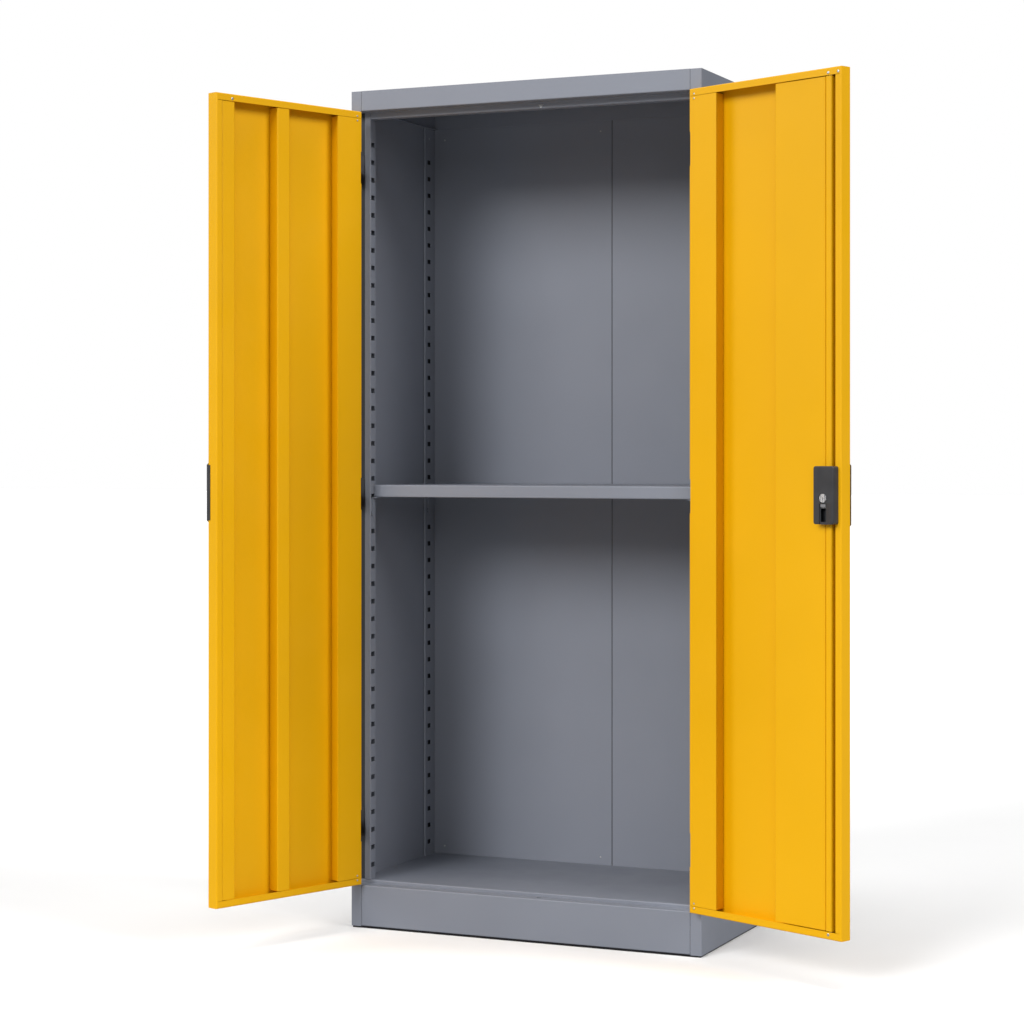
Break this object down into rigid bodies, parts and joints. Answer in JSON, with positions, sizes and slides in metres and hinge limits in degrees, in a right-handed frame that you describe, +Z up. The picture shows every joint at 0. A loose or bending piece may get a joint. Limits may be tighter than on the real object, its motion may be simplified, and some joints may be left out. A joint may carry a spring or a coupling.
{
  "type": "steel storage cabinet",
  "caption": "Free-standing two-door steel storage cabinet with an adjustable shelf, slotted uprights and a two-rod door lock, shown with its doors open.",
  "frame": {"origin": "centre of the footprint on the floor", "axes": "+Z up, -Y out of the front, +X to the right as seen from the front"},
  "size_m": [1.4005, 0.8582, 1.95],
  "materials": {
    "grey_paint": "satin powder coat",
    "yellow_paint": "satin powder coat",
    "dark_steel": "satin",
    "zinc_steel": "zinc plated",
    "black_plastic": "fine textured",
    "grey_plastic": "satin",
    "chrome": "polished"
  },
  "bodies": {
    "carcass": {"side_panel_left": "grey_paint", "side_panel_right": "grey_paint", "front_post_left": "grey_paint", "front_post_right": "grey_paint", "rear_upright_left": "grey_paint", "rear_upright_right": "grey_paint", "back_sheet_wide": "grey_paint", "back_sheet_narrow": "grey_paint", "back_seam_strip": "grey_paint", "top_panel": "grey_paint", "fascia": "grey_paint", "lintel": "grey_paint", "floor_panel": "grey_paint", "plinth": "grey_paint", "base_frame": "grey_paint", "rod_keepers": "zinc_steel", "back_screws": "zinc_steel", "shelf_clips": "grey_paint", "frame_hinges_left": "dark_steel", "frame_hinges_right": "dark_steel", "hinge_pins_left": "zinc_steel", "hinge_pins_right": "zinc_steel"},
    "shelf": {"shelf": "grey_paint", "shelf_stiffener": "grey_paint"},
    "door_left": {"door_left_pan": "yellow_paint", "door_left_hinge_channel": "yellow_paint", "door_left_hat": "yellow_paint", "door_left_free_channel": "yellow_paint", "door_left_pull_plate": "black_plastic", "door_left_hinges": "dark_steel", "door_left_rivets": "zinc_steel"},
    "door_right": {"door_right_pan": "yellow_paint", "door_right_hinge_channel": "yellow_paint", "door_right_cover": "yellow_paint", "door_right_rod_cover": "yellow_paint", "door_right_hinges": "dark_steel", "door_right_rivets": "zinc_steel", "handle_plate": "black_plastic", "lock_housing": "black_plastic", "lock_bezel": "chrome"},
    "key": {"key_barrel": "chrome"},
    "snib": {"snib": "grey_plastic"},
    "knob": {"turn_knob": "black_plastic", "knob_spindle": "zinc_steel", "lock_cam": "zinc_steel"},
    "upper_rod": {"upper_rod": "zinc_steel"},
    "lower_rod": {"lower_rod": "zinc_steel"}
  },
  "joints": [
    {"name": "door_left_hinge", "type": "hinge", "parent": "carcass", "child": "door_left", "pos_m": [-0.4295, -0.224, 1], "axis": [0, 0, 1], "range_deg": [-69.7, 110.3]},
    {"name": "door_right_hinge", "type": "hinge", "parent": "carcass", "child": "door_right", "pos_m": [0.4295, -0.224, 1], "axis": [0, 0, 1], "range_deg": [-156, 24]},
    {"name": "knob_turn", "type": "hinge", "parent": "door_right", "child": "knob", "pos_m": [0.79816, -0.39416, 1.047], "axis": [0.4067, 0.9135, 0], "range_deg": [0, 90]},
    {"name": "key_turn", "type": "hinge", "parent": "door_right", "child": "key", "pos_m": [0.78837, -0.38542, 1.013], "axis": [0.4067, 0.9135, 0], "range_deg": [0, 90]},
    {"name": "snib_slide", "type": "slide", "parent": "door_right", "child": "snib", "axis": [0, 0, -1], "range_m": [0, 0.028]},
    {"name": "upper_rod_slide", "type": "slide", "parent": "door_right", "child": "upper_rod", "axis": [0, 0, 1], "range_m": [0, 0.015]},
    {"name": "lower_rod_slide", "type": "slide", "parent": "door_right", "child": "lower_rod", "axis": [0, 0, -1], "range_m": [0, 0.015]},
    {"name": "shelf_lift", "type": "slide", "parent": "carcass", "child": "shelf", "axis": [0, 0, 1], "range_m": [0, 0.05]}
  ],
  "couplings": [
    {"joint": "knob_turn", "follows": "upper_rod_slide", "rad_per_m": 104.72},
    {"joint": "lower_rod_slide", "follows": "upper_rod_slide", "ratio": 1}
  ]
}
